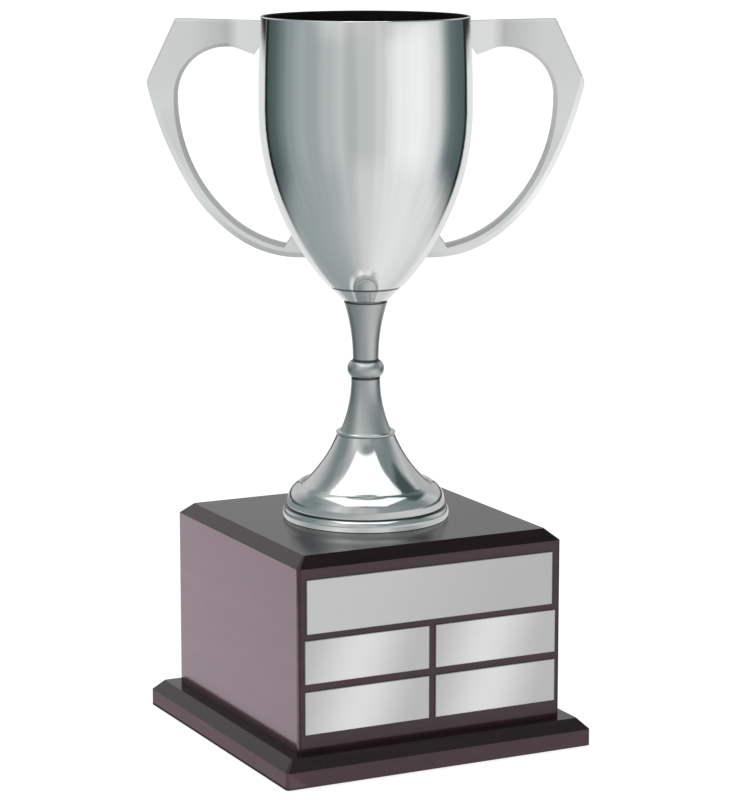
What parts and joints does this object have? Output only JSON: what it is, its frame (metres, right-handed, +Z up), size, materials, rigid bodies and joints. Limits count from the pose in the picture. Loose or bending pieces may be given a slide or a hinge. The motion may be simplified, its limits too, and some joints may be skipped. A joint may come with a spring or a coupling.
{
  "type": "cup trophy",
  "caption": "Two-handled metal cup on a slender stem and round foot, bolted to a square bevelled wooden base with blank metal name plates.",
  "frame": {"origin": "centre of the underside, on the surface the trophy stands on", "axes": "+Z up along the cup's axis; the name plates face -Y; the base's sides lie along X and Y; the cup's two handles lie in an upright plane 26.7 degrees clockwise from the X axis seen from above"},
  "size_m": [0.1716, 0.1474, 0.318],
  "materials": {
    "plated_metal": "polished nickel plate",
    "satin_metal": "satin nickel plate on a casting",
    "plate_metal": "brushed satin",
    "plain_steel": "zinc plated",
    "lacquered_wood": "dark rosewood piano lacquer",
    "raw_wood": "sawn",
    "felt": "felt"
  },
  "bodies": {
    "root": {"felt_sheet": "felt", "plinth_screws": "plain_steel", "plinth_board": "lacquered_wood", "corner_blocks": "raw_wood", "front_panel": "lacquered_wood", "right_panel": "lacquered_wood", "back_panel": "lacquered_wood", "left_panel": "lacquered_wood", "top_board": "lacquered_wood", "header_plate": "plate_metal", "name_plate_1": "plate_metal", "name_plate_2": "plate_metal", "name_plate_3": "plate_metal", "name_plate_4": "plate_metal", "foot_base": "plated_metal", "foot_ring": "plated_metal", "foot_skirt": "plated_metal", "skirt_ledge": "plated_metal", "stem_lower": "plated_metal", "stem_knop": "plated_metal", "stem_upper": "plated_metal", "bowl_collar": "plated_metal", "bowl": "plated_metal", "right_handle": "satin_metal", "left_handle": "satin_metal", "handle_screws": "plain_steel", "tie_rod": "plain_steel", "bowl_washer": "plain_steel", "bowl_nut": "plain_steel", "base_washer": "plain_steel", "base_nut": "plain_steel"}
  },
  "joints": []
}
